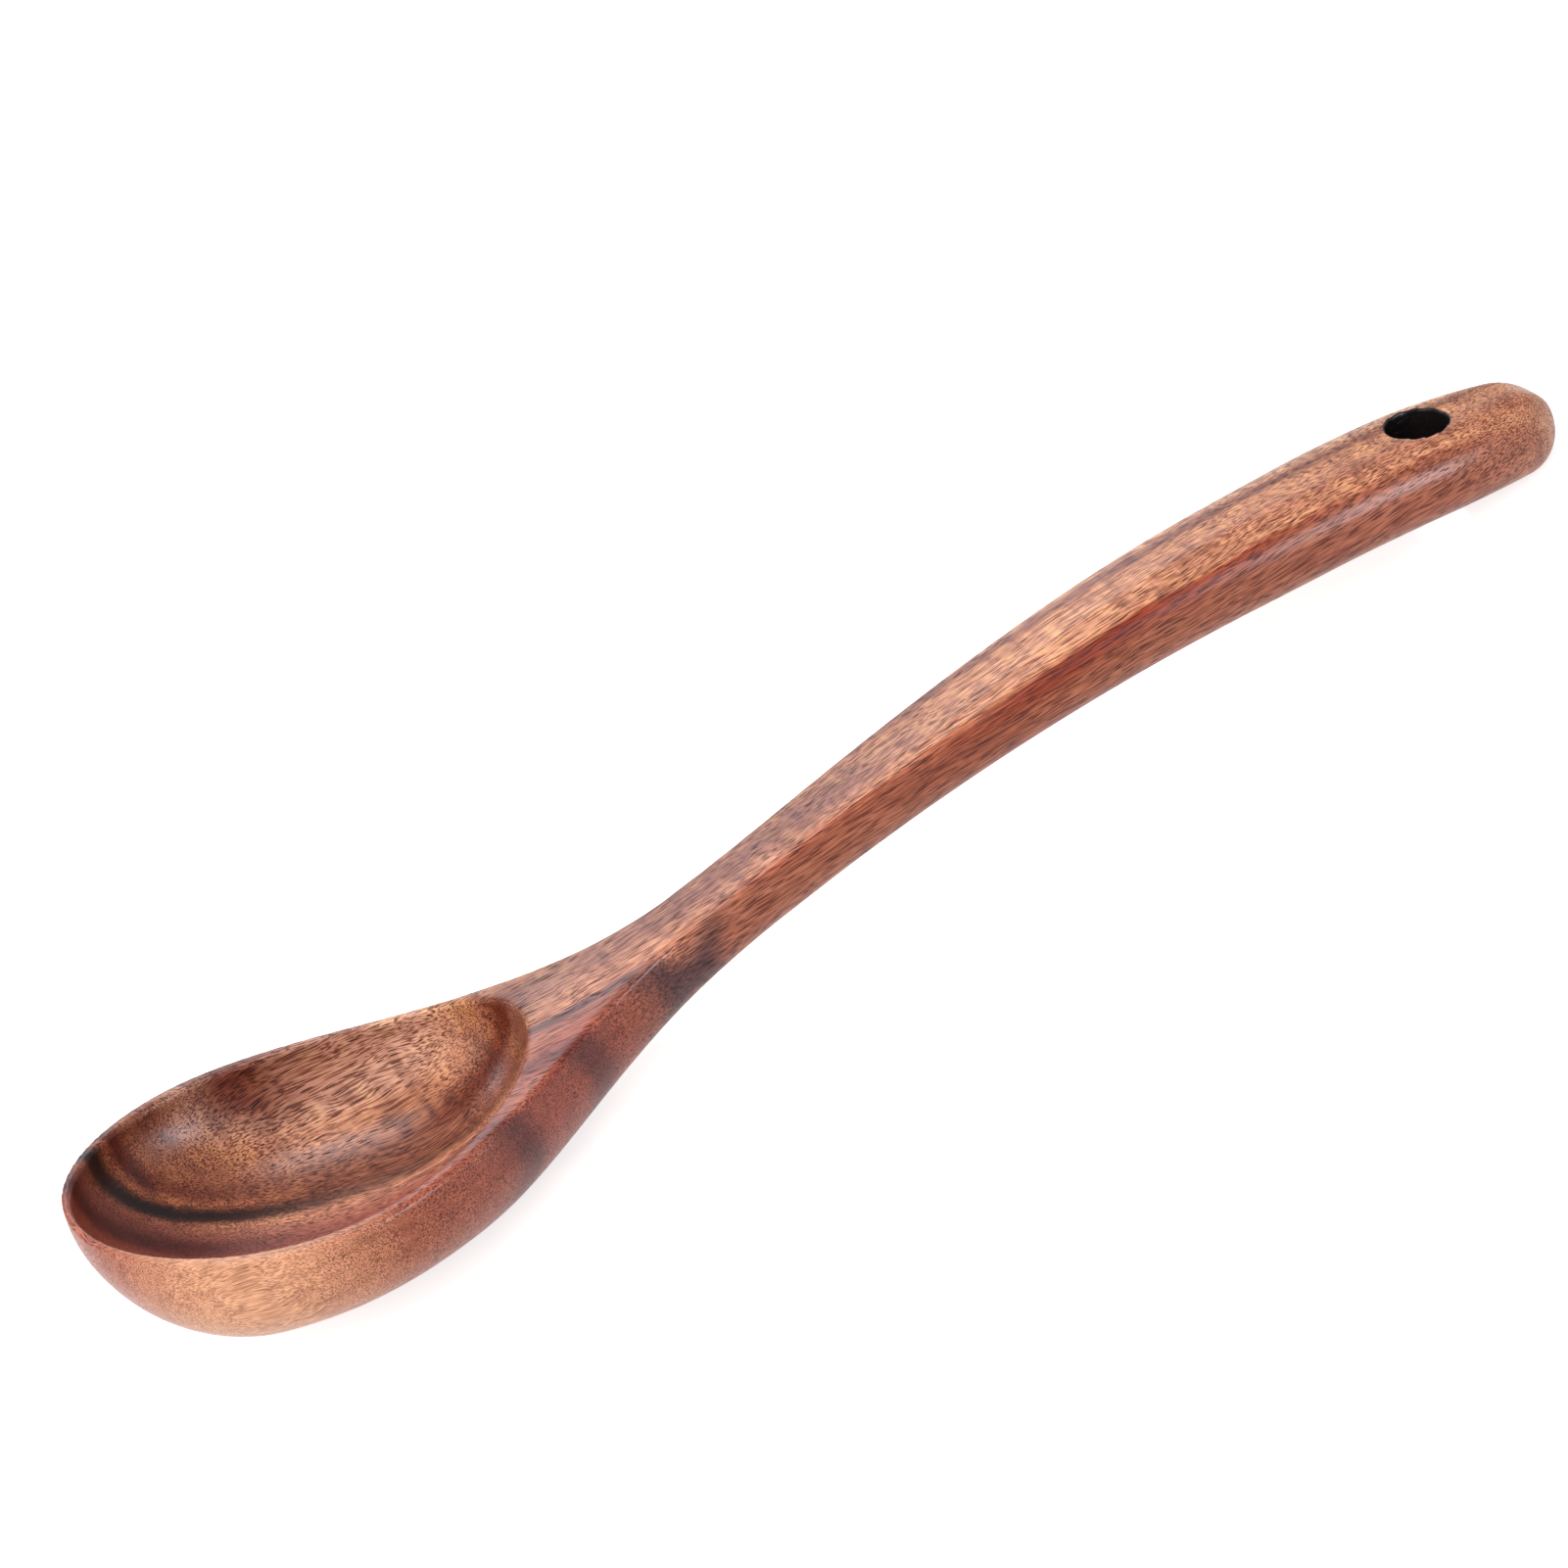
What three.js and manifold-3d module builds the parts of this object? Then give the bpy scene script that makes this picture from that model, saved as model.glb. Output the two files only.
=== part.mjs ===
import * as THREE from "three";
import { mergeVertices } from "three/addons/utils/BufferGeometryUtils.js";
import Module from "manifold-3d";

// Wooden cooking spoon carved from one board, with no joined pieces. Millimetres, +Z up.
// The carving is drawn with x from the bowl's tip to the handle's end and z up from the rim,
// and is then tipped to lie on a table, on its planed flat and the end of its handle.

// Driving dimensions, in millimetres
const SPOON_LENGTH = 320;

// Outline from above
const BOWL_WIDTH = 70;
const BOWL_WIDEST_FROM_TIP = 38.1;
const NECK_WIDTH = 13.2;
const NECK_FROM_TIP = 125.7;
const GRIP_WIDTH = 25.8;
const GRIP_WIDEST_FROM_END = 33;

// Outline from the side
const TIP_LIFT = 5.4;
const TIP_LIFT_LENGTH = 72.4;
const HANDLE_RISE = 25.9;
const RISE_STARTS_FROM_TIP = 71;
const RISE_STOPS_FROM_END = 71.6;
const END_DROOP = 4.7;
const DROOP_FROM_END = 55.8;

// Thickness from the top face to the underside, with stations counted from the tip
const BOWL_THICKNESS = 26.6;
const BOWL_THICK_UNTIL = 62.8;
const NECK_THICKNESS = 13.4;
const NECK_THIN_FROM = 143.9;
const GRIP_THICKNESS = 16.9;
const TIP_UNDERCUT = 23.8;
const END_DOME_LENGTH = 9.5;

// Edge rounding
const NECK_EDGE_RADIUS = 1.3;
const GRIP_EDGE_RADIUS = 7.8;
const EDGE_SOFTENS_FROM_TIP = 150;
const EDGE_SOFT_FROM_END = 70;
const HULL_HEIGHT = 20;
const HANDLE_UNDER_ROUND = 8.4;
const BOWL_KEEL_WIDTH = 2;
const GRIP_KEEL_WIDTH = 8;

// Hollow of the bowl
const RIM_WIDTH = 3.2;
const RIM_WIDTH_AT_TIP = 1.45;
const HOLLOW_BACK_FROM_TIP = 91.2;
const HOLLOW_BACK_ASIDE = 4.8;
const FLOOR_THICKNESS = 6.5;
const RIM_EASE = 0.7;

// Hanging hole and the planed flat that the bowl rests on
const HOLE_DIAMETER = 12;
const HOLE_FROM_END = 28.4;
const FLAT_DEPTH = 0.6;

// Curve powers, without units: 2 is an ellipse, more is squarer
const TIP_POWER = 1.89;
const END_POWER = 1.86;
const HOLLOW_BACK_POWER = 8;
const HOLLOW_WALL_POWER = 2.5;
const ASIDE_POWER = 3;
const SHOULDER_LEAD = 1.02;
const UNDERSIDE_LEAD = 1.12;

// Fineness of the faceted surface
const STATIONS = 76;
const EDGE_STEPS = 4;
const HULL_STEPS = 8;
const HOLLOW_RINGS = 11;
const HOLLOW_SPOKES = 56;
const HOLE_SIDES = 36;
const MERGE_DISTANCE = 1e-4;
const REST_PASSES = 12;

// Cutters stand this far past the surface that they cut
const CUT_PAST = 6;

const GRIP_X = SPOON_LENGTH - GRIP_WIDEST_FROM_END;
const HOLE_X = SPOON_LENGTH - HOLE_FROM_END;
const HOLLOW_DEPTH = BOWL_THICKNESS - FLOOR_THICKNESS;

const { clamp, lerp, smoothstep } = THREE.MathUtils;
const wasm = await Module();
wasm.setup();

// S-curve from 0 to 1 between two stations; a lead above 1 leaves the start early
function sCurve(x, start, stop, lead = 1) {
  const left = 1 - clamp((x - start) / (stop - start), 0, 1);
  return smoothstep(1 - left ** lead, 0, 1);
}

// Share of the full size that is left on the way out to a rounded end, 1 to 0
function roundOff(share, power = 2) {
  return Math.sqrt(Math.max(0, 1 - clamp(share, 0, 1) ** power));
}

// Half of the width at a station, before the tip and the end are rounded off
function fullHalfWidth(x) {
  if (x < NECK_FROM_TIP) {
    const narrowing = sCurve(x, BOWL_WIDEST_FROM_TIP, NECK_FROM_TIP, SHOULDER_LEAD);
    return lerp(BOWL_WIDTH, NECK_WIDTH, narrowing) / 2;
  }
  return lerp(NECK_WIDTH, GRIP_WIDTH, sCurve(x, NECK_FROM_TIP, GRIP_X)) / 2;
}

function widthShare(x) {
  if (x < BOWL_WIDEST_FROM_TIP) {
    return roundOff(1 - x / BOWL_WIDEST_FROM_TIP, TIP_POWER);
  }
  return roundOff((x - GRIP_X) / GRIP_WIDEST_FROM_END, END_POWER);
}

// Height of the top face: level rim, lifted tip, rising handle with a drooping end
function topHeight(x) {
  const lift = TIP_LIFT * Math.max(0, 1 - x / TIP_LIFT_LENGTH) ** 2;
  const rise = HANDLE_RISE * sCurve(x, RISE_STARTS_FROM_TIP, SPOON_LENGTH - RISE_STOPS_FROM_END);
  const droopShare = Math.max(0, x - SPOON_LENGTH + DROOP_FROM_END) / DROOP_FROM_END;
  return lift + rise - END_DROOP * droopShare ** 2;
}

function topSlope(x) {
  const step = 0.5;
  return (topHeight(x + step) - topHeight(x - step)) / (2 * step);
}

// Share of the way from the slim, crisp neck to the soft, rounded grip
function gripShare(x) {
  return sCurve(x, EDGE_SOFTENS_FROM_TIP, SPOON_LENGTH - EDGE_SOFT_FROM_END);
}

function neckShare(x) {
  return sCurve(x, BOWL_THICK_UNTIL, NECK_THIN_FROM, UNDERSIDE_LEAD);
}

function fullThickness(x) {
  const front = lerp(BOWL_THICKNESS, NECK_THICKNESS, neckShare(x));
  return front + (GRIP_THICKNESS - NECK_THICKNESS) * gripShare(x);
}

// Radius of the top edges, limited by the wood that they are cut in
function edgeRadius(x) {
  const radius = lerp(NECK_EDGE_RADIUS, GRIP_EDGE_RADIUS, gripShare(x));
  return Math.min(radius, fullHalfWidth(x), fullThickness(x) / 2);
}

// Top and bottom height at a station, with the tip undercut and the end domed
function heights(x) {
  const radius = edgeRadius(x);
  const shoulder = topHeight(x) - radius;
  const top = shoulder + radius * roundOff(1 - x / radius);
  const bottom = shoulder - (fullThickness(x) - radius) * roundOff(1 - x / TIP_UNDERCUT);
  const dome = roundOff(1 - (SPOON_LENGTH - x) / END_DOME_LENGTH);
  const middle = (top + bottom) / 2;
  return {
    top: lerp(middle, top, dome),
    bottom: lerp(middle, bottom, dome),
  };
}

// One closed section, anticlockwise as seen from the handle's end: flat top, rounded edges, hull
function section(x) {
  const { top, bottom } = heights(x);
  const radius = edgeRadius(x);
  const share = widthShare(x);
  const half = fullHalfWidth(x) * share;
  const squash = (top - bottom) / fullThickness(x);
  const keel = lerp(BOWL_KEEL_WIDTH, GRIP_KEEL_WIDTH, gripShare(x)) / 2 * share;
  const edge = radius * share;
  const edgeDrop = radius * squash;
  const fullHull = lerp(HULL_HEIGHT, HANDLE_UNDER_ROUND, neckShare(x));
  const hullHeight = Math.min(fullHull, fullThickness(x) - radius) * squash;
  const side = [];
  for (let i = 0; i <= EDGE_STEPS; i += 1) {
    const turn = (i / EDGE_STEPS) * (Math.PI / 2);
    side.push([half - edge + edge * Math.sin(turn), top - edgeDrop + edgeDrop * Math.cos(turn)]);
  }
  for (let i = 0; i <= HULL_STEPS; i += 1) {
    const turn = (i / HULL_STEPS) * (Math.PI / 2);
    const y = keel + (half - keel) * Math.cos(turn);
    side.push([y, bottom + hullHeight - hullHeight * Math.sin(turn)]);
  }
  const mirrored = side.map(([y, z]) => [-y, z]);
  return [...mirrored, ...side.reverse()].map(([y, z]) => new THREE.Vector3(x, y, z));
}

// Closed skin over a list of rings of equal count, with a point at each end
function skin(startPoint, rings, endPoint) {
  const count = rings[0].length;
  const points = [startPoint, ...rings.flat(), endPoint];
  const last = points.length - 1;
  const at = (ring, i) => 1 + ring * count + (i % count);
  const index = [];
  for (let i = 0; i < count; i += 1) {
    index.push(0, at(0, i + 1), at(0, i));
    index.push(last, at(rings.length - 1, i), at(rings.length - 1, i + 1));
    for (let ring = 0; ring + 1 < rings.length; ring += 1) {
      index.push(at(ring, i), at(ring, i + 1), at(ring + 1, i));
      index.push(at(ring, i + 1), at(ring + 1, i + 1), at(ring + 1, i));
    }
  }
  const geometry = new THREE.BufferGeometry().setFromPoints(points);
  geometry.setIndex(index);
  return geometry;
}

// Stations crowd towards the tip and the end, where the outline turns fastest
function stations() {
  const list = [];
  for (let i = 1; i < STATIONS; i += 1) {
    list.push(SPOON_LENGTH * (1 - Math.cos((Math.PI * i) / STATIONS)) / 2);
  }
  return list;
}

function blank() {
  const tip = new THREE.Vector3(0, 0, heights(0).bottom);
  const end = new THREE.Vector3(SPOON_LENGTH, 0, heights(SPOON_LENGTH).bottom);
  return skin(tip, stations().map(section), end);
}

// Half width of the hollow's mouth: the outline less the rim, closed by a round back
function mouthHalfWidth(x) {
  const inside = fullHalfWidth(x) - RIM_WIDTH;
  if (x < BOWL_WIDEST_FROM_TIP) {
    const reach = BOWL_WIDEST_FROM_TIP - RIM_WIDTH_AT_TIP;
    return inside * roundOff((BOWL_WIDEST_FROM_TIP - x) / reach, TIP_POWER);
  }
  const reach = HOLLOW_BACK_FROM_TIP - BOWL_WIDEST_FROM_TIP;
  return inside * roundOff((x - BOWL_WIDEST_FROM_TIP) / reach, HOLLOW_BACK_POWER);
}

// The carver let the back of the hollow drift to one side of the centre line
function mouthMiddle(x) {
  const reach = HOLLOW_BACK_FROM_TIP - BOWL_WIDEST_FROM_TIP;
  return HOLLOW_BACK_ASIDE * clamp((x - BOWL_WIDEST_FROM_TIP) / reach, 0, 1) ** ASIDE_POWER;
}

// Cutter of the hollow: rings from the floor up the wall to the eased rim and past it
function hollow() {
  const middle = (RIM_WIDTH_AT_TIP + HOLLOW_BACK_FROM_TIP) / 2;
  const reach = (HOLLOW_BACK_FROM_TIP - RIM_WIDTH_AT_TIP) / 2;
  const halfMouth = BOWL_WIDTH / 2 - RIM_WIDTH;
  const ring = (share, grow, height) => {
    const points = [];
    for (let i = 0; i < HOLLOW_SPOKES; i += 1) {
      const turn = (2 * Math.PI * i) / HOLLOW_SPOKES;
      const mouthX = middle + reach * Math.cos(turn);
      const mouthY = mouthMiddle(mouthX) + Math.sign(Math.sin(turn)) * mouthHalfWidth(mouthX);
      const x = middle + (mouthX - middle) * share * (1 + grow / reach);
      const y = mouthY * share * (1 + grow / halfMouth);
      points.push(new THREE.Vector3(x, y, topHeight(x) + height));
    }
    return points;
  };
  const rings = [];
  for (let i = 1; i <= HOLLOW_RINGS; i += 1) {
    const share = Math.sin((i / HOLLOW_RINGS) * (Math.PI / 2));
    const depth = (HOLLOW_DEPTH - RIM_EASE) * roundOff(share, HOLLOW_WALL_POWER);
    rings.push(ring(share, 0, -RIM_EASE - depth));
  }
  rings.push(ring(1, RIM_EASE, 0));
  rings.push(ring(1, RIM_EASE, CUT_PAST));
  const floor = new THREE.Vector3(middle, 0, topHeight(middle) - HOLLOW_DEPTH);
  const above = new THREE.Vector3(middle, 0, topHeight(middle) + CUT_PAST);
  return skin(floor, rings, above);
}

// Cutter of the hanging hole, square to the top face where it is drilled
function hangingHole() {
  const length = fullThickness(HOLE_X) + 2 * CUT_PAST;
  const radius = HOLE_DIAMETER / 2;
  const drill = new THREE.CylinderGeometry(radius, radius, length, HOLE_SIDES);
  drill.rotateX(Math.PI / 2);
  drill.rotateY(-Math.atan(topSlope(HOLE_X)));
  const { top, bottom } = heights(HOLE_X);
  drill.translate(HOLE_X, 0, (top + bottom) / 2);
  return drill;
}

// Angle that lays the planed flat under the bowl and the handle's end on one table
function restTilt() {
  const underside = stations().map((x) => ({ x, z: heights(x).bottom }));
  const lowest = (points, tilt) => {
    const height = (p) => p.z * Math.cos(tilt) - p.x * Math.sin(tilt);
    return points.reduce((a, b) => (height(b) < height(a) ? b : a));
  };
  let tilt = 0;
  let foot;
  for (let pass = 0; pass < REST_PASSES; pass += 1) {
    const bowl = lowest(underside.filter((p) => p.x < NECK_FROM_TIP), tilt);
    foot = lowest(underside.filter((p) => p.x >= NECK_FROM_TIP), tilt);
    const climb = Math.hypot(foot.x - bowl.x, foot.z - bowl.z);
    tilt = Math.atan2(foot.z - bowl.z, foot.x - bowl.x) - Math.asin(FLAT_DEPTH / climb);
  }
  return { tilt, table: foot.z * Math.cos(tilt) - foot.x * Math.sin(tilt) };
}

function toSolid(geometry) {
  const bare = geometry.clone();
  bare.deleteAttribute("normal");
  bare.deleteAttribute("uv");
  const merged = mergeVertices(bare, MERGE_DISTANCE);
  const vertProperties = Float32Array.from(merged.getAttribute("position").array);
  const triVerts = Uint32Array.from(merged.getIndex().array);
  return new wasm.Manifold(new wasm.Mesh({ numProp: 3, vertProperties, triVerts }));
}

function toGeometry(solid) {
  const { vertProperties, triVerts } = solid.getMesh();
  const geometry = new THREE.BufferGeometry();
  geometry.setAttribute("position", new THREE.BufferAttribute(vertProperties, 3));
  geometry.setIndex(new THREE.BufferAttribute(triVerts, 1));
  return geometry;
}

// Tip the carving onto the table and centre it over the origin
function laidOnTable(geometry) {
  const { tilt, table } = restTilt();
  const laid = geometry.clone();
  laid.rotateY(tilt);
  laid.computeBoundingBox();
  const middle = laid.boundingBox.getCenter(new THREE.Vector3());
  laid.translate(-middle.x, 0, -table);
  return laid;
}

// Everything of the bowl that would stand below the table
function planedOff() {
  const box = new THREE.BoxGeometry(NECK_FROM_TIP, BOWL_WIDTH, CUT_PAST);
  box.translate(-SPOON_LENGTH / 2 + NECK_FROM_TIP / 2, 0, -CUT_PAST / 2);
  return box;
}

function spoonGeometry() {
  const carved = toSolid(blank()).subtract(toSolid(hollow())).subtract(toSolid(hangingHole()));
  const laid = laidOnTable(toGeometry(carved));
  const geometry = toGeometry(toSolid(laid).subtract(toSolid(planedOff())));
  geometry.computeVertexNormals();
  return geometry;
}

const oiledWood = new THREE.MeshStandardMaterial({
  color: new THREE.Color(0.71, 0.45, 0.35),
  roughness: 0.42,
  metalness: 0,
});

const spoon = new THREE.Mesh(spoonGeometry(), oiledWood);
spoon.name = "spoon";

const woodenSpoon = new THREE.Group();
woodenSpoon.add(spoon);

export default woodenSpoon;
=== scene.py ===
import math
from collections import namedtuple

import bpy
import numpy as np
from mathutils import Matrix, Vector


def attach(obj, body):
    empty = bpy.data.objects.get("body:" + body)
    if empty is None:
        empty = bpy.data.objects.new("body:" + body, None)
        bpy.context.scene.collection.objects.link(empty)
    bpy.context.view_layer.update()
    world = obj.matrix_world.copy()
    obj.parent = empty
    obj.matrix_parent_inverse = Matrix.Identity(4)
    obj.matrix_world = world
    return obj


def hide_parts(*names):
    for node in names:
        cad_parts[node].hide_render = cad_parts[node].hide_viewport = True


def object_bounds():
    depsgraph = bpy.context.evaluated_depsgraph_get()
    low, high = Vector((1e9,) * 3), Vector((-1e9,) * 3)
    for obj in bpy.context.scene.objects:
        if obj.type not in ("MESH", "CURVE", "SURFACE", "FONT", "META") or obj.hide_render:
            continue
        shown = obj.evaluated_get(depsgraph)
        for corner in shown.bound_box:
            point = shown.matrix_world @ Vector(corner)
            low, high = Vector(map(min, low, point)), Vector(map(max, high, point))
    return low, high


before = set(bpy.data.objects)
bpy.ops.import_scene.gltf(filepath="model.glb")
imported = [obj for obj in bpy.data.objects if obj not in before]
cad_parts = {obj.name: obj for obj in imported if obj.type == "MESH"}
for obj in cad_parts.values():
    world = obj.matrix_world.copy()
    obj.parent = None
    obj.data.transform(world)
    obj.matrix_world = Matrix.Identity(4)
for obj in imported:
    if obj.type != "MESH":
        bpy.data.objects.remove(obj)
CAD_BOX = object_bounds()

# Wooden cooking spoon carved from one board. The carving is drawn in millimetres, with x from
# the bowl's tip to the handle's end and z up from the rim, then laid on the table in metres.
MM = 0.001

# Outline from above
SPOON_LENGTH = 320.0
BOWL_WIDTH = 70.0
BOWL_WIDEST_FROM_TIP = 38.1
NECK_WIDTH = 13.2
NECK_FROM_TIP = 125.7
GRIP_WIDTH = 25.8
GRIP_WIDEST_FROM_END = 33.0

# Outline from the side
TIP_LIFT = 5.4
TIP_LIFT_LENGTH = 72.4
HANDLE_RISE = 25.9
RISE_STARTS_FROM_TIP = 71.0
RISE_STOPS_FROM_END = 71.6
END_DROOP = 4.7
DROOP_FROM_END = 55.8

# Thickness from the top face to the underside
BOWL_THICKNESS = 26.6
BOWL_THICK_UNTIL = 62.8
NECK_THICKNESS = 13.4
NECK_THIN_FROM = 143.9
GRIP_THICKNESS = 16.9
TIP_UNDERCUT = 23.8
END_DOME_LENGTH = 9.5

# Edge rounding
NECK_EDGE_RADIUS = 1.3
GRIP_EDGE_RADIUS = 7.8
EDGE_SOFTENS_FROM_TIP = 150.0
EDGE_SOFT_FROM_END = 70.0
HULL_HEIGHT = 20.0
HANDLE_UNDER_ROUND = 8.4
BOWL_KEEL_WIDTH = 2.0
GRIP_KEEL_WIDTH = 8.0

# Hollow of the bowl
RIM_WIDTH = 3.2
RIM_WIDTH_AT_TIP = 1.45
HOLLOW_BACK_FROM_TIP = 91.2
HOLLOW_BACK_ASIDE = 4.8
FLOOR_THICKNESS = 6.5
RIM_EASE = 0.7

# Hanging hole and the planed flat that the bowl rests on
HOLE_DIAMETER = 12.0
HOLE_FROM_END = 28.4
FLAT_DEPTH = 0.6

# Curve powers and leads, without units: a power of 2 is an ellipse, and more is squarer
TIP_POWER = 1.89
END_POWER = 1.86
HOLLOW_BACK_POWER = 8.0
HOLLOW_WALL_POWER = 2.5
ASIDE_POWER = 3.0
SHOULDER_LEAD = 1.02
UNDERSIDE_LEAD = 1.12

# Fineness of the surface
STATIONS = 420
EDGE_STEPS = 10
HULL_STEPS = 36
HOLLOW_RINGS = 56
EASE_STEPS = 6
HOLLOW_SPOKES = 260
HOLE_SIDES = 96
SLOPE_STEP = 0.5
CUT_PAST = 6.0
VOXEL = 0.56
SMOOTH_FACTOR = 0.5
SMOOTH_PASSES = 2
REST_STATIONS = 76
REST_PASSES = 12

GRIP_X = SPOON_LENGTH - GRIP_WIDEST_FROM_END
HOLE_X = SPOON_LENGTH - HOLE_FROM_END
HALF_LENGTH = SPOON_LENGTH / 2
HOLLOW_DEPTH = BOWL_THICKNESS - FLOOR_THICKNESS
QUARTER = math.pi / 2

# Run of the grain: slopes, and places in millimetres from the middle of the spoon
GRAIN_SLOPE_BOWL = 0.25
GRAIN_SLOPE_HANDLE = 0.04
GRAIN_BENDS_AT = -64.0
GRAIN_BEND_LENGTH = 10.0
SHEET_LEAN = 0.3
SHEET_LEAN_IN_BOWL = -0.24
LEAN_TURNS_FROM, LEAN_TURNS_TO = -8.0, 6.0
BOWL_LEAN_UNTIL, HANDLE_LEAN_FROM = -67.0, -17.0
LEAN_PIVOT_HEIGHT = 20.0

# Noises: size of the features along, across and up in millimetres, detail and roughness
WANDER = ((40, 18, 18), 2.0, 0.5)
RIPPLE = ((3, 9, 9), 2.0, 0.6)
STREAKS = ((50, 1.5, 2.4), 4.0, 0.7)
FRAY = ((24, 0.7, 0.7), 2.0, 0.6)
WAVE = ((13, 8, 8), 1.0, 0.5)
CLOUD = ((5, 0.8, 0.8), 3.0, 0.7)
FIBRE = ((5, 0.21, 0.21), 0.0, 0.5)
CROWD = ((12, 2.2, 2.2), 2.0, 0.5)
PORE_SPACING = (6, 0.38, 0.38)

# Reach of the noises that shift the grain, in millimetres, and the wave's share on the handle
WANDER_REACH = 0.8
FRAY_REACH = 1.1
WAVE_REACH = 1.3
WAVE_ON_HANDLE = 0.35
WAVE_BOWL_UNTIL, WAVE_HANDLE_FROM = -70.0, -40.0

# Fibres turn aside towards the bowl's tip, more so on the near side
TIP_TURN_FROM = -112.0
TIP_TURN_SLOPE = 0.5
TIP_TURN_NONE, TIP_TURN_FULL = 5.0, -50.0

# Broad shade of the board by distance across the grain. Shades are written as they look.
BOARD_LOW = -56.0
BOARD_HIGH = 40.0
BOARD_SHADES = [
    (-52.0, (190, 116, 88)),
    (-42.0, (172, 94, 71)),
    (-30.0, (166, 84, 67)),
    (-20.0, (164, 80, 63)),
    (-12.0, (168, 86, 67)),
    (-8.0, (192, 116, 92)),
    (-2.0, (216, 148, 116)),
    (4.0, (216, 149, 114)),
    (11.5, (206, 138, 100)),
    (15.0, (216, 164, 140)),
    (22.0, (194, 122, 98)),
    (36.0, (200, 132, 104)),
]

# Pale wood on the near side of the bowl's tip, and darker wood along the middle of the bowl
PALE_SHADE = (220, 162, 128)
PALE_ALONG = [(-160, 0.35), (-149, 0.9), (-138, 0.9), (-126, 0.45), (-114, 0)]
PALE_ACROSS_FULL, PALE_ACROSS_UNTIL = -38.0, -16.0
HEART_TINT = (0.6, 0.42, 0.34, 1)
HEART_FULL, HEART_UNTIL = -74.0, -64.0
HEART_ACROSS = [(-3, 0), (1, 0.9), (7, 0.7), (11, 0.2), (16, 0.0)]

# Ripple across the grain, light and dark, on the figured middle of the board
FIGURED_ACROSS = [(-6, 0.2), (0, 1), (14, 1), (20, 0.4)]
RIPPLE_DARK, RIPPLE_EVEN, RIPPLE_LIGHT = 0.32, 0.48, 0.66
RIPPLE_DARK_SHARE = 0.6
RIPPLE_BRIGHT = (1.16, 1.26, 1.12, 1)

# Streaks along the grain
STREAK_TINT = (0.5, 0.42, 0.4, 1)
STREAK_FROM, STREAK_FULL = 0.45, 0.75
STREAK_SHARE = 0.7

# Growth lines: distance across the grain, reach to the near and far side of it, tint, and
# strength along the length. The core of a line is the share of its reach at full strength.
LINE_CORE = 0.1
INK = (0.06, 0.03, 0.045, 1)
MAROON = (0.27, 0.1, 0.11, 1)
SLATE = (0.28, 0.31, 0.55, 1)
PLUM = (0.32, 0.2, 0.3, 1)
RUST = (0.55, 0.17, 0.08, 1)
AMBER = (0.55, 0.26, 0.13, 1)
EMBER = (0.22, 0.07, 0.05, 1)
DUSK = (0.53, 0.51, 0.64, 1)
SMOKE = (0.52, 0.44, 0.5, 1)
TAN = (0.72, 0.62, 0.6, 1)
ROSE = (0.84, 0.74, 0.76, 1)
GROWTH_LINES = [
    (-29.5, 6.5, 3.5, PLUM, [(-112, 0), (-94, 0.7), (-80, 0.9), (-60, 0.3), (-30, 0)]),
    (-15.8, 3.8, 3.8, PLUM, [(-92, 0.1), (-76, 0.7), (-62, 0.85), (-50, 0.3), (-30, 0)]),
    (-10.0, 5.0, 5.0, MAROON, [(-142, 0.9), (-128, 0.5), (-112, 0)]),
    (-6.0, 12.0, 12.0, MAROON, [(-157, 0.1), (-152, 0.7), (-146, 0.85), (-136, 0.5), (-122, 0)]),
    (-5.6, 1.4, 1.4, SLATE, [(-110, 0.2), (-72, 0.7), (-52, 0.7), (-44, 0)]),
    (-6.0, 4.0, 4.0, DUSK, [(-98, 0), (-84, 0.8), (-52, 0.8), (-40, 0)]),
    (-4.0, 20.0, 2.6, TAN, [(-46, 0), (-30, 1), (130, 1), (155, 0.1)]),
    (-2.7, 3.0, 1.5, RUST,
     [(-34, 0), (-18, 0.5), (15, 0.55), (40, 0.95), (60, 1), (90, 0.8), (110, 0.4), (155, 0.3)]),
    (-10.0, 4.0, 5.0, TAN, [(-66, 0), (-56, 0.6), (-38, 0.9), (-28, 0)]),
    (-0.6, 3.2, 3.6, INK,
     [(-154, 1), (-132, 0.95), (-118, 0.75), (-104, 0.55), (-86, 0.45), (-72, 0.4), (-62, 0)]),
    (-0.4, 2.8, 3.0, EMBER, [(-150, 0), (-142, 0.9), (-130, 0.9), (-112, 0)]),
    (3.0, 5.0, 5.0, ROSE, [(-60, 0), (-45, 0.7), (-20, 1), (6, 0.6), (20, 0)]),
    (3.5, 5.0, 4.0, ROSE, [(70, 0), (84, 0.9), (150, 1)]),
    (4.6, 2.6, 3.4, MAROON, [(-156, 1), (-142, 1), (-130, 0.6), (-118, 0.2), (-106, 0)]),
    (5.0, 9.0, 10.0, DUSK, [(-130, 0), (-112, 0.8), (-70, 1), (0, 1), (20, 0.6), (44, 0)]),
    (6.6, 2.8, 4.0, AMBER, [(-104, 0), (-92, 0.7), (-76, 0.95), (-68, 0.8), (-62, 0)]),
    (11.6, 2.0, 2.4, PLUM, [(6, 0), (26, 0.8), (110, 0.8), (155, 0.5)]),
    (11.0, 9.0, 9.0, SMOKE, [(-160, 1), (-130, 0.9), (-112, 0)]),
    (17.0, 4.0, 6.0, EMBER,
     [(-130, 0), (-121, 0.85), (-114, 0.92), (-110, 0.75), (-106, 0.5), (-98, 0.3), (-78, 0)]),
]

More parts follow.
